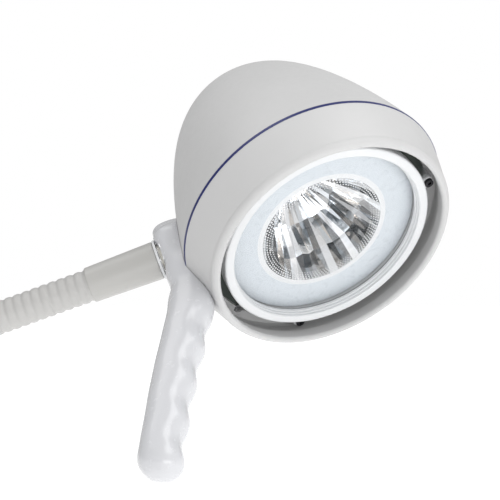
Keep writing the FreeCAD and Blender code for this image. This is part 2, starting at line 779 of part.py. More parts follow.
def housing_spacer():
    """Ring between the nut and the dome, shaped to the dome's inner wall."""
    blank = tube(HOUSING_R + 0.1, 14.5, on_arm(76.0), on_arm(90.0))
    inside = dome_solid(SEAM_R - WALL, DOME_LENGTH - WALL, SEAM_Z)
    return blank.common(inside).cut(ring(BAND_R - BAND_T - 0.1, 90.0, 20.0, 34.0))


def swivel_bush():
    inner = SHAFT_R + BUSH_CLEARANCE
    return arm_turned([(inner, 72.0), (BUSH_R, 72.0), (BUSH_R, HOUSING_FLANGE[1]),
                       (9.6, HOUSING_FLANGE[1]), (9.6, 94.4), (inner, 94.4)])


def swivel_shaft():
    """Hollow shaft with a collar that carries the sleeve."""
    return arm_turned([(3.0, 60.0), (SHAFT_R, 60.0), (SHAFT_R, 95.0), (8.2, 95.0), (8.2, 120.0),
                       (3.0, 120.0)])


def thrust_washer():
    inner = SHAFT_R + BUSH_CLEARANCE
    return arm_turned([(inner, 94.5), (9.6, 94.5), (9.6, 94.95), (inner, 94.95)])


def spring_washer():
    """Cupped washer that sets the friction of the swivel."""
    inner = SHAFT_R + 0.1
    return arm_turned([(inner, 71.0), (8.6, 71.35), (8.6, 71.85), (inner, 71.5)])


def stop_washer():
    """Washer keyed to the shaft; its tab meets the stop pin at both ends of the travel."""
    tab = block(0, 14.6, -2.0, 2.0, 70.0, 70.9)
    disc = rod(9.0, Z * 70.0, Z * 70.9).fuse(tab).cut(rod(SHAFT_R, Z * 60, Z * 80))
    return moved(disc, ARM)


def swivel_nut():
    nut = Part.Face(Part.makePolygon([polar(9.5, 60 * i, 64.0) for i in range(7)])).extrude(Z * 5.9)
    return moved(nut.cut(rod(SHAFT_R, Z * 60, Z * 75)), ARM)


def stop_pin():
    """Pin in the housing nut, on the far side of the shaft from the tab's rest."""
    return rod(STOP_PIN_R, on_arm(69.4, STOP_R), on_arm(76.0, STOP_R))


# ---- sleeve and gooseneck -----------------------------------------------------------------

def neck_sleeve():
    outline = lines([(8.2, SLEEVE_START), (SLEEVE_R - 1.2, SLEEVE_START)])
    outline += [bow((SLEEVE_R - 1.2, SLEEVE_START), (SLEEVE_R - 0.35, SLEEVE_START + 0.35),
                    (SLEEVE_R, SLEEVE_START + 1.2))]
    outline += lines([(SLEEVE_R, SLEEVE_START + 1.2), (SLEEVE_END_R, SLEEVE_END - 1.5)])
    outline += [bow((SLEEVE_END_R, SLEEVE_END - 1.5), (SLEEVE_END_R - 0.4, SLEEVE_END - 0.4),
                    (SLEEVE_END_R - 1.5, SLEEVE_END))]
    outline += lines([(SLEEVE_END_R - 1.5, SLEEVE_END), (8.2, SLEEVE_END), (8.2, SLEEVE_START)])
    body = moved(turned(outline), ARM)
    for distance in (108.0, 132.0):
        body = body.cut(rod(1.5, on_arm(distance, 0, 0), on_arm(distance, 0, -20)))
    return body


def sleeve_ring():
    return arm_turned([(8.2, BOSS_BACK + 0.3), (SLEEVE_R + 0.5, BOSS_BACK + 0.3),
                       (SLEEVE_R + 0.5, SLEEVE_START), (8.2, SLEEVE_START)])


def sleeve_screws():
    screws = []
    for distance in (108.0, 132.0):
        screws.append(rod(1.5, on_arm(distance, 0, -8.2), on_arm(distance, 0, -10.0)))
    return Part.makeCompound(screws)


def neck_profile(start, end, ribs):
    """Ribbed outer edge, from start to end."""
    pitch = (end - start) / ribs
    edges = []
    for i in range(ribs):
        low = start + pitch * i
        edges.append(bow((NECK_R - RIB_DEPTH, low), (NECK_R, low + pitch / 2),
                         (NECK_R - RIB_DEPTH, low + pitch)))
    return edges


def with_ball(body, centre_z):
    """Adds the stem and ball that a link carries at its far end."""
    stem = rod(STEM_R, Z * (centre_z - LINK_BACK - 3), Z * centre_z)
    return body.fuse([stem, Part.makeSphere(BALL_R, Z * centre_z)])


def cup_cut(body):
    """Takes out the ball's seat at the near end, and the lead's flared way in."""
    body = body.cut(Part.makeSphere(CUP_R, ORIGIN))
    return body.cut(rod(5.3, Z * (LINK_START - 1), ORIGIN))


def bored(body, length):
    return body.cut(rod(LEAD_BORE_R, Z * -40, Z * (length + 20)))


def link_solid():
    end = LINK - LINK_BACK
    outline = neck_profile(LINK_START, end, RIBS_PER_LINK)
    outline += lines([(NECK_R - RIB_DEPTH, end), (0, end), (0, LINK_START),
                      (NECK_R - RIB_DEPTH, LINK_START)])
    return bored(cup_cut(with_ball(turned(outline), LINK)), LINK)


def sleeve_plug():
    """Last cup of the neck, pressed into the sleeve."""
    length = 15.0
    outline = neck_profile(LINK_START, 4.0, 1)
    outline += lines([(NECK_R - RIB_DEPTH, 4.0), (NECK_R - RIB_DEPTH, 4.9), (8.2, 4.9),
                      (8.2, length), (0, length), (0, LINK_START),
                      (NECK_R - RIB_DEPTH, LINK_START)])
    return bored(cup_cut(turned(outline)), length)


def base_plug():
    """First ball of the neck, on a plug that is pressed into the ferrule."""
    top = FIRST_JOINT_Z - LINK_BACK
    outline = lines([(SHANK_R, 30.0), (SHANK_R, FERRULE_HEIGHT),
                     (NECK_R - RIB_DEPTH, FERRULE_HEIGHT)])
    outline += neck_profile(FERRULE_HEIGHT, top, 2)
    outline += lines([(NECK_R - RIB_DEPTH, top), (0, top), (0, 30.0), (SHANK_R, 30.0)])
    return bored(with_ball(turned(outline), FIRST_JOINT_Z), FIRST_JOINT_Z)


# ---- base ---------------------------------------------------------------------------------

SPIGOT_TOP = 29.5       # inside the ferrule
SUPPLY_R = 5.0
CONTACT_R = 1.0
CONTACT_X = (-2.2, 2.2)


def base_ferrule():
    outline = lines([(MOUTH_BORE_R, 0.0), (FERRULE_R - 0.8, 0.0), (FERRULE_R, 0.8), (FERRULE_R, 30.0)])
    outline += [bow((FERRULE_R, 30.0), (FERRULE_R - 0.8, 38.0), (10.4, FERRULE_HEIGHT))]
    outline += lines([(10.4, FERRULE_HEIGHT), (SHANK_R, FERRULE_HEIGHT), (SHANK_R, 1.0),
                      (MOUTH_BORE_R, 0.0)])
    body = turned(outline)
    for z in (12.0, 37.0):
        body = body.cut(rod(2.0, Z * z, Vector(20, 0, z)))
    return body


def spigot():
    """Steel pin that goes into a wall, rail or trolley socket."""
    return turned(closed([(SUPPLY_R, -SPIGOT_LENGTH), (SPIGOT_R - 1, -SPIGOT_LENGTH),
                          (SPIGOT_R, -SPIGOT_LENGTH + 1), (SPIGOT_R, -RELIEF),
                          (SHANK_R, -RELIEF), (SHANK_R, SPIGOT_TOP),
                          (SUPPLY_R, SPIGOT_TOP)]))


def ferrule_screws():
    low = rod(2.0, Vector(SHANK_R, 0, 12), Vector(12.6, 0, 12))
    high = rod(2.0, Vector(SHANK_R, 0, 37), Vector(11.6, 0, 37))
    return Part.makeCompound([low, high])


def supply_socket():
    """Insulating insert in the spigot's lower end, with two holes for its contacts."""
    body = rod(SUPPLY_R, Z * -SPIGOT_LENGTH, Z * (-SPIGOT_LENGTH + 14))
    for x in CONTACT_X:
        body = body.cut(rod(CONTACT_R, Vector(x, 0, -60), Vector(x, 0, -30)))
    return body


def supply_pins():
    z0 = -SPIGOT_LENGTH
    return Part.makeCompound([rod(CONTACT_R, Vector(x, 0, z0), Vector(x, 0, z0 + 16))
                              for x in CONTACT_X])


# ---- lead inside the head -----------------------------------------------------------------

LEAD_R = 1.6
LEAD_ROUTE = [(60.0, 0, ARM_Z + 6.31), (53.0, 0, ARM_Z + 7.0), (50.5, 0, ARM_Z + 15.0),
              (52.5, 0, ARM_Z + 26.0), (52.0, 0, 85.0), (46.0, 0, 102.0), (38.0, 0, 118.0),
              (29.0, 0, 121.6), (25.0, 0, 121.6)]


def lead_path(points):
    """Straight runs joined by tangent arcs, as large as the runs allow."""
    spots = [Vector(*p) for p in points]
    edges = []
    here = spots[0]
    for before, corner, after in zip(spots, spots[1:], spots[2:]):
        way_in = (corner - before).normalize()
        way_out = (after - corner).normalize()
        turn = way_in.getAngle(way_out)
        trim = 0.45 * min((corner - before).Length, (after - corner).Length)
        radius = trim / math.tan(turn / 2)
        start = corner - way_in * trim
        end = corner + way_out * trim
        inward = (way_out - way_in).normalize()
        middle = corner + inward * (radius * (1 / math.cos(turn / 2) - 1))
        edges.append(Part.makeLine(here, start))
        edges.append(Part.Arc(start, middle, end).toShape())
        here = end
    edges.append(Part.makeLine(here, spots[-1]))
    return Part.Wire(edges)


def head_lead():
    path = lead_path(LEAD_ROUTE)
    start = Vector(*LEAD_ROUTE[0])
    along = Vector(*LEAD_ROUTE[1]) - start
    circle = Part.Wire(Part.makeCircle(LEAD_R, start, along))
    lead = path.makePipeShell([circle], True, False)
    print("lead length", round(path.Length, 1), "volume ratio",
          round(lead.Volume / (path.Length * math.pi * LEAD_R**2), 4))
    return lead


# ---- write the pieces ---------------------------------------------------------------------

HEAD_PIECES = {
    "rear_dome": rear_dome, "accent_ring": accent_ring, "front_collar": front_collar,
    "chassis_ring": chassis_ring, "lug_spacers": lug_spacers,
    "chassis_screws": chassis_screws, "dome_screws": dome_screws,
    "lens_ring": lens_ring, "lens_screws": lens_screws, "glass_gasket": glass_gasket,
    "cover_glass": cover_glass, "glass_mask": glass_mask, "reflector": reflector,
    "rim_gasket": rim_gasket, "support_posts": support_posts, "sink_plate": sink_plate,
    "plate_screws": plate_screws, "led_board": led_board, "led_emitter": led_emitter,
    "heat_sink": heat_sink, "board_standoffs": board_standoffs, "driver_board": driver_board,
    "board_screws": board_screws, "driver_parts": driver_parts, "switch_body": switch_body,
    "power_button": power_button, "switch_nut": switch_nut, "grip_screws": grip_screws,
    "bearing_housing": bearing_housing, "housing_nut": housing_nut,
    "housing_spacer": housing_spacer, "swivel_bush": swivel_bush, "stop_washer": stop_washer,
    "swivel_shaft": swivel_shaft, "thrust_washer": thrust_washer,
    "spring_washer": spring_washer, "swivel_nut": swivel_nut, "stop_pin": stop_pin,
    "neck_sleeve": neck_sleeve, "sleeve_ring": sleeve_ring, "sleeve_screws": sleeve_screws,
    "head_lead": head_lead,
}
BASE_PIECES = {
    "base_ferrule": base_ferrule, "base_plug": base_plug, "spigot": spigot,
    "ferrule_screws": ferrule_screws, "supply_socket": supply_socket,
    "supply_pins": supply_pins,
}

for name, make in HEAD_PIECES.items():
    save(name, make(), HEAD)
for name, make in BASE_PIECES.items():
    save(name, make())

left_half, right_half = grip_halves()
save("grip_near_half", left_half, HEAD)
save("grip_far_half", right_half, HEAD)

link = link_solid()
for number in range(NECK_JOINTS - 1):
    axis = rising(elevations[number + 1])
    save("neck_link_%02d" % (number + 1), link, frame_of(joints[number], side, axis))
save("sleeve_plug", sleeve_plug(), frame_of(joints[-1], side, arm_world * -1))

# Axes for the joints, in metres, for whoever fills in the record.
print("arm axis", [round(v, 6) for v in arm_world], "root",
      [round(v / 1000, 6) for v in arm_root])
print("light", [round(v, 6) for v in light], "side", [round(v, 6) for v in side])
print("arm elevation", round(-math.degrees(math.asin(arm_world.z)), 3), "heading",
      round(math.degrees(math.atan2(-arm_world.y, -arm_world.x)), 3))
for number, joint in enumerate(joints):
    mean = math.radians((elevations[number] + elevations[number + 1]) / 2)
    tangent = heading * math.cos(mean) + Z * math.sin(mean)
    bend = side.cross(tangent)
    print("joint", number + 1, [round(v / 1000, 6) for v in joint],
          "yaw axis", [round(v, 6) for v in bend])
print("head origin", [round(v / 1000, 6) for v in head_origin])
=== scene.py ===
import json
import math
import random

import bpy
from mathutils import Matrix, Vector


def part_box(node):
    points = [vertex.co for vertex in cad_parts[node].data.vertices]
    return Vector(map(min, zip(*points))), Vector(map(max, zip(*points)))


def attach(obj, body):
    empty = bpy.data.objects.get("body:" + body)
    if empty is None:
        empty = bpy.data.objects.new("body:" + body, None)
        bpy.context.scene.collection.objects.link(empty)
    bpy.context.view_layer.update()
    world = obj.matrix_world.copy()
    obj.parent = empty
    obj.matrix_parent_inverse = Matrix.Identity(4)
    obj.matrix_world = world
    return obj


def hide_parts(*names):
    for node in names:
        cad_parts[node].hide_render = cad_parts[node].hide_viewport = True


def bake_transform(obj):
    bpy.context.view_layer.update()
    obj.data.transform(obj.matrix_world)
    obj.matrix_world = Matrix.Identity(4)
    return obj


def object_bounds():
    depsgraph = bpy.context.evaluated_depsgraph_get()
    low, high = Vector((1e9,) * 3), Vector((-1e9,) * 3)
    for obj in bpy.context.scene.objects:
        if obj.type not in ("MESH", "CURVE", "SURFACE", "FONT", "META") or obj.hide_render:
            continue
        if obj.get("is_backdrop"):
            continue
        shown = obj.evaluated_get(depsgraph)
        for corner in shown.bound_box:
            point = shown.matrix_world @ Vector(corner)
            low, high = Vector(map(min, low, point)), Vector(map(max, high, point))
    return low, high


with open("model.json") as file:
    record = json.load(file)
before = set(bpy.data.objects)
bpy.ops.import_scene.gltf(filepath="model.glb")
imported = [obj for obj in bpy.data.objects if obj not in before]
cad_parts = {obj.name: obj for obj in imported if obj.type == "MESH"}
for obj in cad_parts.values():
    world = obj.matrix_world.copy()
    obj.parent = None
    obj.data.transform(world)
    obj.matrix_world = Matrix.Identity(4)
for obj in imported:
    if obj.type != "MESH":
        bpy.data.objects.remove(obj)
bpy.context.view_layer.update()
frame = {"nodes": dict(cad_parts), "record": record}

MM = 0.001
random.seed(7)

# ---- the head's own frame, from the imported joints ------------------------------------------

joints = {j["name"]: j for j in frame["record"]["behaviour"]["joints"]}


def middle(node):
    """Middle of a CAD piece's box, in metres."""
    low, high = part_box(node)
    return (Vector(low) + Vector(high)) / 2


LIGHT = Vector(joints["power_press"]["axis"]).normalized()
ARM = Vector(joints["head_swivel"]["axis"]).normalized()
BACK = -LIGHT
ARM_SIDE = (ARM - BACK * ARM.dot(BACK)).normalized()
ACROSS = BACK.cross(ARM_SIDE)
MASK_DEPTH = 18.75          # middle of the printed border, behind the plane of the mouth
MOUTH = middle("glass_mask") - BACK * MASK_DEPTH * MM
# HEAD maps the head's own axes to the world: x towards the arm, y across, z to the back.
HEAD = Matrix((ARM_SIDE, ACROSS, BACK)).transposed().to_4x4()
HEAD.translation = MOUTH
ARM_Z = 44.0                # where the arm's axis meets the head's, behind the mouth
ARM_ORIGIN = MOUTH + BACK * ARM_Z * MM

# ---- camera and lights ---------------------------------------------------------------------

scene = bpy.context.scene
scene.view_settings.view_transform = "Standard"

CAMERA_FROM_MOUTH = Vector((-0.05065, -0.5903, 0.00035))     # metres; it looks along +Y
camera_data = bpy.data.cameras.new("camera")
camera_data.lens = 72.0
camera_data.sensor_width = 36.0
camera_data.clip_start = 0.01
camera = bpy.data.objects.new("camera", camera_data)
camera.location = MOUTH + CAMERA_FROM_MOUTH
camera.rotation_euler = (math.radians(90), 0, 0)
scene.collection.objects.link(camera)
scene.camera = camera


def softbox(name, offset, size, power):
    """White rectangular light at an offset from the mouth, aimed at the mouth."""
    data = bpy.data.lights.new(name, "AREA")
    data.shape = "RECTANGLE"
    data.size, data.size_y = size
    data.energy = power
    lamp = bpy.data.objects.new(name, data)
    lamp.location = MOUTH + Vector(offset)
    lamp.rotation_euler = (-Vector(offset)).to_track_quat("-Z", "Y").to_euler()
    scene.collection.objects.link(lamp)


softbox("key", (0.7, -0.5, 1.3), (1.2, 1.0), 9.5)
softbox("fill", (-0.7, 0.1, 1.3), (0.9, 0.9), 4)
softbox("mouth_light", (0.45, -1.2, -0.14), (1.1, 0.3), 4.5)


ROOM_STRENGTH = 0.72


def facing(tree, direction, low, high, start, end):
    """Brightness from low to high, as the cosine to a direction goes from start to end."""
    coords = tree.nodes.new("ShaderNodeTexCoord")
    dot = tree.nodes.new("ShaderNodeVectorMath")
    dot.operation = "DOT_PRODUCT"
    dot.inputs[1].default_value = Vector(direction).normalized()
    tree.links.new(coords.outputs["Generated"], dot.inputs[0])
    node = tree.nodes.new("ShaderNodeMapRange")
    node.inputs["From Min"].default_value = start
    node.inputs["From Max"].default_value = end
    node.inputs["To Min"].default_value = low
    node.inputs["To Max"].default_value = high
    tree.links.new(dot.outputs["Value"], node.inputs["Value"])
    return node.outputs["Result"]


def studio_world():
    """White backdrop for the camera; the object sees a room brighter above, dimmer ahead."""
    world = bpy.data.worlds.new("studio")
    scene.world = world
    world.use_nodes = True
    tree = world.node_tree
    tree.nodes.clear()
    white = tree.nodes.new("ShaderNodeBackground")
    white.inputs[0].default_value = (1, 1, 1, 1)
    white.inputs[1].default_value = 1.0
    room = tree.nodes.new("ShaderNodeBackground")
    room.inputs[1].default_value = ROOM_STRENGTH
    from_above = facing(tree, (0.35, -0.2, 0.9), 0.42, 1.0, -0.7, 0.7)
    dim_ahead = facing(tree, (-0.25, -1.0, 0.05), 1.0, 0.9, 0.72, 0.97)
    level = tree.nodes.new("ShaderNodeMath")
    level.operation = "MULTIPLY"
    tree.links.new(from_above, level.inputs[0])
    tree.links.new(dim_ahead, level.inputs[1])
    tree.links.new(level.outputs[0], room.inputs[0])
    path = tree.nodes.new("ShaderNodeLightPath")
    mix = tree.nodes.new("ShaderNodeMixShader")
    tree.links.new(path.outputs["Is Camera Ray"], mix.inputs[0])
    tree.links.new(room.outputs[0], mix.inputs[1])
    tree.links.new(white.outputs[0], mix.inputs[2])
    out = tree.nodes.new("ShaderNodeOutputWorld")
    tree.links.new(mix.outputs[0], out.inputs[0])


studio_world()


# ---- materials -----------------------------------------------------------------------------

def shader(name):
    """New material; returns it with its node tree and its principled shader."""
    material = bpy.data.materials.new(name)
    material.use_nodes = True
    tree = material.node_tree
    return material, tree, tree.nodes["Principled BSDF"]


def noise(tree, scale, detail=3.0, roughness=0.55):
    """Noise fixed to the object, from 0 to 1."""
    coords = tree.nodes.new("ShaderNodeTexCoord")
    texture = tree.nodes.new("ShaderNodeTexNoise")
    texture.inputs["Scale"].default_value = scale
    texture.inputs["Detail"].default_value = detail
    texture.inputs["Roughness"].default_value = roughness
    tree.links.new(coords.outputs["Object"], texture.inputs["Vector"])
    return texture.outputs["Fac"]


def spread(tree, value, low, high, start=0.3, end=0.7):
    """Maps a value's start-to-end range onto low to high."""
    node = tree.nodes.new("ShaderNodeMapRange")
    node.inputs["From Min"].default_value = start
    node.inputs["From Max"].default_value = end
    node.inputs["To Min"].default_value = low
    node.inputs["To Max"].default_value = high
    tree.links.new(value, node.inputs["Value"])
    return node.outputs["Result"]


def blend_colours(tree, factor, first, second):
    """Mix of two colours or colour sockets."""
    node = tree.nodes.new("ShaderNodeMix")
    node.data_type = "RGBA"
    for socket, value in ((node.inputs[6], first), (node.inputs[7], second)):
        if isinstance(value, tuple):
            socket.default_value = (*value, 1)
        else:
            tree.links.new(value, socket)
    tree.links.new(factor, node.inputs[0])
    return node.outputs[2]


def bumped(tree, principled, height, distance):
    """Bump of a height texture, with its depth in metres."""
    node = tree.nodes.new("ShaderNodeBump")
    node.inputs["Distance"].default_value = distance
    node.inputs["Strength"].default_value = 1.0
    tree.links.new(height, node.inputs["Height"])
    tree.links.new(node.outputs["Normal"], principled.inputs["Normal"])


EDGE_NORMALS = (0.75, 0.98)     # cosine between true and rounded normal: at an edge, on a face


def worn_edges(tree, colour, edge_colour, radius=0.0006):
    """Slightly different colour along the edges, found by rounding them in the shader."""
    bevel = tree.nodes.new("ShaderNodeBevel")
    bevel.samples = 4
    bevel.inputs["Radius"].default_value = radius
    geometry = tree.nodes.new("ShaderNodeNewGeometry")
    dot = tree.nodes.new("ShaderNodeVectorMath")
    dot.operation = "DOT_PRODUCT"
    tree.links.new(bevel.outputs["Normal"], dot.inputs[0])
    tree.links.new(geometry.outputs["Normal"], dot.inputs[1])
    mask = spread(tree, dot.outputs["Value"], 1.0, 0.0, *EDGE_NORMALS)
    return blend_colours(tree, mask, colour, edge_colour)


def tinted(colour, factor):
    """Colour made paler or darker by a factor."""
    return tuple(min(c * factor, 1.0) for c in colour)


def moulded(name, colour, rough, grain=1800.0, depth=0.00003, cloud=0.03, coat=0.0, edge=1.06,
            rough_swing=0.06):
    """Moulded plastic: faint clouding, fine grain, roughness that varies, paler edges."""
    material, tree, principled = shader(name)
    cloud_mask = spread(tree, noise(tree, 14.0), 0.0, 1.0)
    base = blend_colours(tree, cloud_mask, tinted(colour, 1 - cloud), tinted(colour, 1 + cloud))
    base = worn_edges(tree, base, tinted(colour, edge))
    tree.links.new(base, principled.inputs["Base Color"])
    swing = spread(tree, noise(tree, 260.0, 4.0), rough - rough_swing, rough + rough_swing)
    tree.links.new(swing, principled.inputs["Roughness"])
    principled.inputs["Coat Weight"].default_value = coat
    principled.inputs["Coat Roughness"].default_value = 0.12
    bumped(tree, principled, noise(tree, grain, 2.0), depth)
    return material


def metal(name, colour, rough, grain=900.0, depth=0.00001):
    """Turned or cast metal: fine marks, uneven polish, brighter edges."""
    material, tree, principled = shader(name)
    mask = spread(tree, noise(tree, 60.0, 5.0), 0.0, 1.0)
    base = blend_colours(tree, mask, tinted(colour, 0.88), tinted(colour, 1.08))
    base = worn_edges(tree, base, tinted(colour, 1.3))
    tree.links.new(base, principled.inputs["Base Color"])
    principled.inputs["Metallic"].default_value = 1.0
    swing = spread(tree, noise(tree, 350.0, 5.0), rough * 0.75, rough * 1.3)
    tree.links.new(swing, principled.inputs["Roughness"])
    bumped(tree, principled, noise(tree, grain, 3.0), depth)
    return material


def clear_glass():
    """Mostly see-through glass, with uneven polish."""
    material, tree, principled = shader("clear_glass")
    smear = spread(tree, noise(tree, 30.0, 5.0), 0.02, 0.07)
    tree.links.new(smear, principled.inputs["Roughness"])
    principled.inputs["Base Color"].default_value = (0.62, 0.66, 0.70, 1)
    principled.inputs["Alpha"].default_value = 0.03
    principled.inputs["IOR"].default_value = 1.5
    return material


def bright_reflector():
    """Vapour-coated facets: nearly a mirror whose colour carries painted reflection, light and
    dark per facet with tints, and a painted emission on each that stands in for light bounced
    inside the bowl.
    """
    material, tree, principled = shader("reflector_metal")
    # Painted reflection: per-facet light and dark shades, with tints, multiply the mirror's
    # colour.
    attribute = tree.nodes.new("ShaderNodeAttribute")
    attribute.attribute_name = "facet_painted_reflection_and_tint"
    haze = spread(tree, noise(tree, 90.0, 4.0), 0.0, 1.0)
    deep = blend_colours(tree, haze, (0.93, 0.94, 0.96), (0.99, 0.985, 0.97))
    multiply = tree.nodes.new("ShaderNodeMix")
    multiply.data_type = "RGBA"
    multiply.blend_type = "MULTIPLY"
    multiply.inputs[0].default_value = 1.0
    tree.links.new(attribute.outputs["Color"], multiply.inputs[6])
    tree.links.new(deep, multiply.inputs[7])
    tree.links.new(multiply.outputs[2], principled.inputs["Base Color"])
    # Painted light: per-facet emission stands in for light bounced inside the bowl; the reflector
    # is no lamp.
    painted_glow = tree.nodes.new("ShaderNodeAttribute")
    painted_glow.attribute_name = "facet_painted_emission"
    tree.links.new(painted_glow.outputs["Color"], principled.inputs["Emission Color"])
    principled.inputs["Emission Strength"].default_value = 0.75
    principled.inputs["Metallic"].default_value = 1.0
    swing = spread(tree, noise(tree, 220.0, 3.0), 0.02, 0.07)
    tree.links.new(swing, principled.inputs["Roughness"])
    bumped(tree, principled, noise(tree, 110.0, 1.5), 0.00016)
    return material


def circuit():
    """Green laminate with a grid of pads."""
    material, tree, principled = shader("circuit_board")
    coords = tree.nodes.new("ShaderNodeTexCoord")
    brick = tree.nodes.new("ShaderNodeTexBrick")
    brick.inputs["Scale"].default_value = 130.0
    brick.inputs["Color1"].default_value = (0.02, 0.16, 0.07, 1)
    brick.inputs["Color2"].default_value = (0.03, 0.20, 0.09, 1)
    brick.inputs["Mortar"].default_value = (0.10, 0.33, 0.16, 1)
    brick.inputs["Mortar Size"].default_value = 0.03
    tree.links.new(coords.outputs["Object"], brick.inputs["Vector"])
    tree.links.new(brick.outputs["Color"], principled.inputs["Base Color"])
    swing = spread(tree, noise(tree, 200.0), 0.3, 0.5)
    tree.links.new(swing, principled.inputs["Roughness"])
    return material


MATERIALS = {
    "shell_grey": moulded("shell_grey", (0.515, 0.515, 0.515), 0.48, depth=0.00004),
    "accent_blue": moulded("accent_blue", (0.002, 0.008, 0.10), 0.35, cloud=0.1, edge=1.3),
    "ring_white": moulded("ring_white", (0.66, 0.67, 0.68), 0.42, depth=0.00002),
    "clear_glass": clear_glass(),
    "printed_border": moulded("printed_border", (0.545, 0.585, 0.62), 0.30, depth=0.000005,
                              cloud=0.015),
    "reflector_metal": bright_reflector(),
    "chassis_dark": moulded("chassis_dark", (0.07, 0.085, 0.075), 0.55, edge=1.8),
    "steel": metal("steel", (0.56, 0.56, 0.57), 0.28),
    "dark_steel": metal("dark_steel", (0.06, 0.06, 0.065), 0.38),
    "seal_rubber": moulded("seal_rubber", (0.03, 0.03, 0.03), 0.75, grain=2400.0),
    "circuit_board": circuit(),
    "electronic_parts": moulded("electronic_parts", (0.05, 0.05, 0.055), 0.45),
    "led_yellow": moulded("led_yellow", (0.85, 0.72, 0.22), 0.25, depth=0.000005),
    "aluminium": metal("aluminium", (0.72, 0.73, 0.74), 0.35),
    "grip_white": moulded("grip_white", (0.56, 0.565, 0.585), 0.24, grain=700.0, depth=0.000012,
                          cloud=0.012, coat=0.35, edge=1.03, rough_swing=0.05),
    "sleeve_grey": moulded("sleeve_grey", (0.42, 0.415, 0.40), 0.36, depth=0.00003),
    "neck_grey": moulded("neck_grey", (0.44, 0.435, 0.425), 0.45, depth=0.00003, edge=1.1),
    "bearing_plastic": moulded("bearing_plastic", (0.72, 0.70, 0.64), 0.40),
    "brass": metal("brass", (0.80, 0.60, 0.27), 0.30),
    "button_grey": moulded("button_grey", (0.40, 0.42, 0.44), 0.32),
    "insulation_black": moulded("insulation_black", (0.03, 0.03, 0.032), 0.5),
}

slots = {piece["node"]: piece["material_slot"] for piece in frame["record"]["subparts"]}
for node, piece in frame["nodes"].items():
    piece.data.materials.clear()
    piece.data.materials.append(MATERIALS[slots[node]])


# ---- mesh helpers --------------------------------------------------------------------------

def mesh_piece(name, points, faces, slot, matrix=None, smooth=True, sharp=35.0):
    """Piece from points: millimetres in the matrix's frame, or metres in the world."""
    mesh = bpy.data.meshes.new(name)
    mesh.from_pydata([Vector(p) * MM for p in points] if matrix is not None else points, [], faces)
    piece = bpy.data.objects.new(name, mesh)
    scene.collection.objects.link(piece)
    if matrix is not None:
        mesh.transform(matrix)
    mesh.update()
    if smooth:
        mesh.shade_smooth()
        mesh.set_sharp_from_angle(angle=math.radians(sharp))
    mesh.materials.append(MATERIALS[slot])
    return piece


def lathe(name, outline, slot, matrix, steps=192, sharp=35.0):
    """Turned piece from a closed outline of (radius, height) in millimetres."""
    points = []
    faces = []
    count = len(outline)
    for i in range(steps):
        angle = 2 * math.pi * i / steps
        c = math.cos(angle)
        s = math.sin(angle)
        points += [(r * c, r * s, z) for r, z in outline]
    for i in range(steps):
        for k in range(count):
            a = i * count + k
            b = i * count + (k + 1) % count
            c = ((i + 1) % steps) * count + (k + 1) % count
            d = ((i + 1) % steps) * count + k
            faces.append((a, b, c, d))
    return mesh_piece(name, points, faces, slot, matrix, sharp=sharp)


# ---- gooseneck -----------------------------------------------------------------------------

NECK_R = 10.2 * MM
RIB_PITCH = 5.6 * MM
RIB_DEPTH = 0.75 * MM
STEPS_PER_RIB = 10
STEPS_AROUND = 64
STEPS_PER_SPAN = 60         # points on the neck's line between two joints
FERRULE_INSIDE = 0.004      # metres below the ferrule's top
SLEEVE_INSIDE = 0.138       # metres along the arm, inside the sleeve's mouth
RUN_ON = 0.02               # metres past each end, only to steer the line


def neck_joint_points():
    """Points the neck bends about, from the base up."""
    names = []
    for i in range(1, 6):
        names += ["neck_bend_%d" % i, "neck_sway_%d" % i]
    return [Vector(joints[name]["pos_m"]) for name in names]


def neck_line():
    """Smooth line through the joints, from inside the ferrule to inside the sleeve."""
    spots = neck_joint_points()
    start = Vector((0, 0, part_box("base_ferrule")[1][2] - FERRULE_INSIDE))
    end = ARM_ORIGIN + ARM * SLEEVE_INSIDE
    spots = [start] + spots + [end]
    before = start - Vector((0, 0, RUN_ON))
    after = end - ARM * RUN_ON
    knots = [before] + spots + [after]
    line = []
    for k in range(1, len(knots) - 2):
        a, b, c, d = knots[k - 1:k + 3]
        span = (c - b).length
        slope_b = (c - a) / (c - a).length * span
        slope_c = (d - b) / (d - b).length * span
        for i in range(STEPS_PER_SPAN):
            t = i / STEPS_PER_SPAN
            line.append((2 * t**3 - 3 * t**2 + 1) * b + (t**3 - 2 * t**2 + t) * slope_b
                        + (3 * t**2 - 2 * t**3) * c + (t**3 - t**2) * slope_c)
    line.append(knots[-2])
    return line


def neck_stations():
    """Evenly spaced (place, direction) along the neck, with a whole number of ribs."""
    line = neck_line()
    lengths = [0.0]
    for a, b in zip(line, line[1:]):
        lengths.append(lengths[-1] + (b - a).length)
    total = lengths[-1]
    count = round(total / RIB_PITCH) * STEPS_PER_RIB
    stations = []
    k = 0
    for i in range(count + 1):
        s = total * i / count
        while k < len(lengths) - 2 and lengths[k + 1] < s:
            k += 1
        f = (s - lengths[k]) / (lengths[k + 1] - lengths[k])
        stations.append((line[k].lerp(line[k + 1], f), (line[k + 1] - line[k]).normalized()))
    return stations


def neck_cuts(stations):
    """Where the neck is divided: half way between one joint and the next."""
    spots = neck_joint_points()
    middles = [(a + b) / 2 for a, b in zip(spots, spots[1:])]
    last = len(stations) - 1
    cuts = [0]
    for spot in middles:
        cuts.append(min(range(last + 1), key=lambda i: (stations[i][0] - spot).length))
    cuts.append(last)
    return cuts


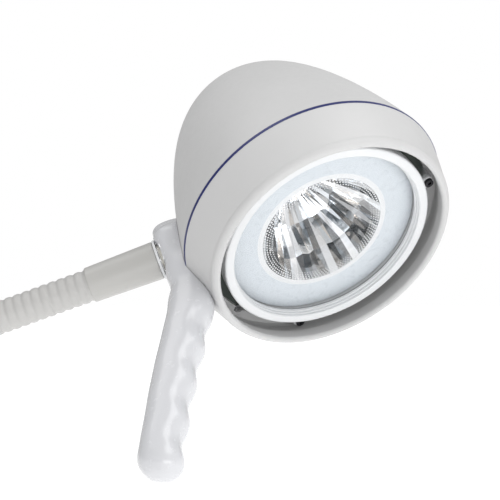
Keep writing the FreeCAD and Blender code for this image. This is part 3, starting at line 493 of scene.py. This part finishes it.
def ribbed_tube(stations, first, last):
    """Points and faces of the stretch between two stations, closed at both ends."""
    sideways = Vector((0, 1, 0))
    points = []
    for i in range(first, last + 1):
        place, along = stations[i]
        u = (sideways - along * sideways.dot(along)).normalized()
        v = along.cross(u)
        wave = 0.5 - 0.5 * math.cos(2 * math.pi * i / STEPS_PER_RIB)
        radius = NECK_R - RIB_DEPTH * (1 - wave) ** 2
        for j in range(STEPS_AROUND):
            angle = 2 * math.pi * j / STEPS_AROUND
            points.append(place + (u * math.cos(angle) + v * math.sin(angle)) * radius)
    rows = last - first
    faces = []
    for i in range(rows):
        low = i * STEPS_AROUND
        high = low + STEPS_AROUND
        for j in range(STEPS_AROUND):
            k = (j + 1) % STEPS_AROUND
            faces.append((low + j, low + k, high + k, high + j))
    faces.append(tuple(reversed(range(STEPS_AROUND))))
    faces.append(tuple(rows * STEPS_AROUND + j for j in range(STEPS_AROUND)))
    return points, faces


def neck_pieces():
    """One ribbed piece over each joint, cut half way to the joints beside it."""
    stations = neck_stations()
    spots = neck_joint_points()
    cuts = neck_cuts(stations)
    last_number = len(cuts) - 2
    for number, (first, last) in enumerate(zip(cuts, cuts[1:])):
        points, faces = ribbed_tube(stations, first, last)
        piece = mesh_piece("neck_sleeve_%02d" % (number + 1), points, faces, "neck_grey",
                           sharp=80.0)
        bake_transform(piece)
        if number == 0:
            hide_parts("base_plug")
        elif number == last_number:
            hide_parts("sleeve_plug", "neck_link_09")
        else:
            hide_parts("neck_link_%02d" % number)


neck_pieces()


# ---- reflector and printed dots ------------------------------------------------------------

REFLECTOR_R = 48.0
REFLECTOR_Z = 19.9
REFLECTOR_DEPTH = 54.3
SOURCE_HOLE_R = 8.2         # hole for the light source
FACET_COLUMNS = 52
FACET_ROWS = 4
RIM_GAP = 0.2               # millimetres between the rim's plane and the first corners
SCATTER_Z = 1.6             # how far an inner corner strays: depth, radius, part of a facet
SCATTER_R = (-0.5, 0.1)
SCATTER_TURN = 0.12
# Painted reflection: shades of the mirror's colour that paint light and dark stripes; the rim row
# gets painted shade.
PAINTED_STREAK_SHADES = (0.15, 0.4, 0.9, 1.0, 1.0, 1.0)
# Painted light: levels of each facet's own emission, standing in for light bounced inside the
# bowl.
PAINTED_STREAK_GLOWS = (0.0, 0.0, 0.12, 0.55, 0.9)
PAINTED_FACET_GLOWS = (0.15, 0.8, 1.0, 1.0)
ODD_SHARE = 0.3             # part of the facets that leave their streak's shade
PAINTED_ODD_SHADES = (0.2, 0.6, 1.0, 1.0)
PAINTED_RIM_SHADE = 0.5
REFLECTOR_WALL = 0.7
TINTS = ((1.0, 0.94, 0.88), (0.88, 0.94, 1.0), (0.94, 0.97, 1.0), (1.0, 1.0, 1.0))


def bowl_radius(z):
    """Radius of the parabolic bowl at a depth."""
    return REFLECTOR_R * math.sqrt((REFLECTOR_Z + REFLECTOR_DEPTH - z) / REFLECTOR_DEPTH)


def lozenge_points():
    """Rings of corners; every second ring is turned by half a facet, and no two are alike."""
    top = REFLECTOR_Z + REFLECTOR_DEPTH * (1 - (SOURCE_HOLE_R / REFLECTOR_R) ** 2)
    points = []
    for i in range(FACET_ROWS + 1):
        share = i / FACET_ROWS
        for j in range(FACET_COLUMNS):
            inner = 0 < i < FACET_ROWS
            shift = random.uniform(-SCATTER_Z, SCATTER_Z) if inner else 0.0
            rise = (top - REFLECTOR_Z) * math.sin(math.pi / 2 * share)
            z = REFLECTOR_Z + RIM_GAP + rise + shift
            r = bowl_radius(z) + (random.uniform(*SCATTER_R) if inner else 0.0)
            turn = random.uniform(-SCATTER_TURN, SCATTER_TURN) if inner else 0.0
            angle = 2 * math.pi * (j + 0.5 * (i % 2) + turn) / FACET_COLUMNS
            points.append((r * math.cos(angle), r * math.sin(angle), z))
    return points


def lozenge_faces():
    """Triangles in pairs, as (corners, number of the lozenge)."""
    faces = []
    for i in range(FACET_ROWS):
        for j in range(FACET_COLUMNS):
            k = (j + 1) % FACET_COLUMNS
            a = i * FACET_COLUMNS + j
            b = i * FACET_COLUMNS + k
            c = (i + 1) * FACET_COLUMNS + j
            d = (i + 1) * FACET_COLUMNS + k
            if i % 2 == 0:
                faces += [((a, c, b), j), ((b, c, d), k)]
            else:
                faces += [((a, c, d), j), ((a, d, b), k)]
    return faces


def make_reflector():
    """Long lozenge facets with painted reflection in stripes of light and dark, painted shade on
    the row at the rim, and painted emission.
    """
    faces = lozenge_faces()
    piece = mesh_piece("faceted_reflector", lozenge_points(), [f for f, column in faces],
                       "reflector_metal", HEAD, smooth=False)
    # painted reflection: one light or dark shade per column of facets
    painted_streaks = [random.choice(PAINTED_STREAK_SHADES) for j in range(FACET_COLUMNS)]
    painted_reflection = piece.data.attributes.new("facet_painted_reflection_and_tint", "FLOAT_COLOR", "FACE")
    painted_glow = piece.data.attributes.new("facet_painted_emission", "FLOAT_COLOR", "FACE")
    # painted light: emission level per column of facets
    painted_glow_levels = [random.choice(PAINTED_STREAK_GLOWS) for j in range(FACET_COLUMNS)]
    for i, (corners, column) in enumerate(faces):
        share = painted_glow_levels[column] * random.choice(PAINTED_FACET_GLOWS)
        painted_glow.data[i].color = (share * 0.97, share * 0.98, share, 1)
        shade = painted_streaks[column]
        if random.random() < ODD_SHARE:
            shade = random.choice(PAINTED_ODD_SHADES)
        # painted shade: the row at the rim is dimmed
        if corners[0] < FACET_COLUMNS:
            shade *= PAINTED_RIM_SHADE
        warm = random.choice(TINTS)
        painted_reflection.data[i].color = (shade * warm[0], shade * warm[1], shade * warm[2], 1)
    thick = piece.modifiers.new("wall", "SOLIDIFY")
    thick.thickness = REFLECTOR_WALL * MM
    thick.offset = -1.0
    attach(piece, "head")
    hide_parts("reflector")


make_reflector()


PRINT_Z = MASK_DEPTH + 0.05
PRINT_FRONT = PRINT_Z - 0.12
PRINT_BACK = PRINT_Z + 0.1
WINDOW_R = 42.3             # inside of the grey border
BORDER_R = 61.0
BAND_R = 38.9               # inside of the white band
DOT_ROWS = 4
OUTER_DOTS_R = 37.9         # circle of the outermost row
DOT_ROW_STEP = 1.68
DOT_SIZE = 0.66             # radius of a dot in the outermost row
DOT_SHRINK = 0.10
DOTS_PER_ROW = 114
DOT_SIDES = 8


def printed_ring(name, inner, outer, slot):
    """Flat ring of paint behind the glass."""
    outline = [(inner, PRINT_FRONT), (outer, PRINT_FRONT), (outer, PRINT_BACK),
               (inner, PRINT_BACK)]
    piece = lathe(name, outline, slot, HEAD)
    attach(piece, "head")
    return piece


def printed_dots():
    """Staggered white dots that shrink towards the middle."""
    points = []
    faces = []
    for row in range(DOT_ROWS):
        radius = OUTER_DOTS_R - row * DOT_ROW_STEP
        size = DOT_SIZE - DOT_SHRINK * row
        for i in range(DOTS_PER_ROW):
            angle = 2 * math.pi * (i + 0.5 * (row % 2)) / DOTS_PER_ROW
            x = radius * math.cos(angle)
            y = radius * math.sin(angle)
            first = len(points)
            for side in (PRINT_FRONT, PRINT_BACK):
                for k in range(DOT_SIDES):
                    turn = 2 * math.pi * k / DOT_SIDES
                    points.append((x + size * math.cos(turn), y + size * math.sin(turn), side))
            back = first + DOT_SIDES
            faces.append(tuple(first + k for k in reversed(range(DOT_SIDES))))
            faces.append(tuple(back + k for k in range(DOT_SIDES)))
            for k in range(DOT_SIDES):
                n = (k + 1) % DOT_SIDES
                faces.append((first + k, first + n, back + n, back + k))
    dots = mesh_piece("printed_dots", points, faces, "ring_white", HEAD, smooth=False)
    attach(dots, "head")


printed_ring("printed_band", BAND_R, WINDOW_R, "ring_white")
border = printed_ring("printed_border", WINDOW_R, BORDER_R, "printed_border")
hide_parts("glass_mask")
printed_dots()

SEAM_Z = 28.7
SEAM_HALF = 0.85
SEAM_ROOT_R = 83.9
SEAM_EDGE_R = 84.60
SEAM_CREST_R = 84.68


def seam_line():
    """The accent ring's blue edge, standing a hair proud of both shells."""
    low = SEAM_Z - SEAM_HALF
    high = SEAM_Z + SEAM_HALF
    outline = [(SEAM_ROOT_R, low), (SEAM_EDGE_R, low), (SEAM_CREST_R, SEAM_Z),
               (SEAM_EDGE_R, high), (SEAM_ROOT_R, high)]
    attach(lathe("seam_line", outline, "accent_blue", HEAD), "head")


seam_line()


# ---- floor ---------------------------------------------------------------------------------

FLOOR_GAP = 0.004
FLOOR_HALF = 6.0


def floor():
    """Plain pale floor just under the lowest point, which gives off a little light."""
    low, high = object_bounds()
    mesh = bpy.data.meshes.new("floor")
    z = low[2] - FLOOR_GAP
    corners = [(-FLOOR_HALF, -FLOOR_HALF, z), (FLOOR_HALF, -FLOOR_HALF, z),
               (FLOOR_HALF, FLOOR_HALF, z), (-FLOOR_HALF, FLOOR_HALF, z)]
    mesh.from_pydata(corners, [], [(0, 1, 2, 3)])
    plane = bpy.data.objects.new("floor", mesh)
    scene.collection.objects.link(plane)
    material, tree, principled = shader("floor_white")
    principled.inputs["Base Color"].default_value = (0.9, 0.9, 0.9, 1)
    principled.inputs["Roughness"].default_value = 0.8
    principled.inputs["Emission Color"].default_value = (1, 1, 1, 1)
    principled.inputs["Emission Strength"].default_value = 0.5
    mesh.materials.append(material)
    plane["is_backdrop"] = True


floor()
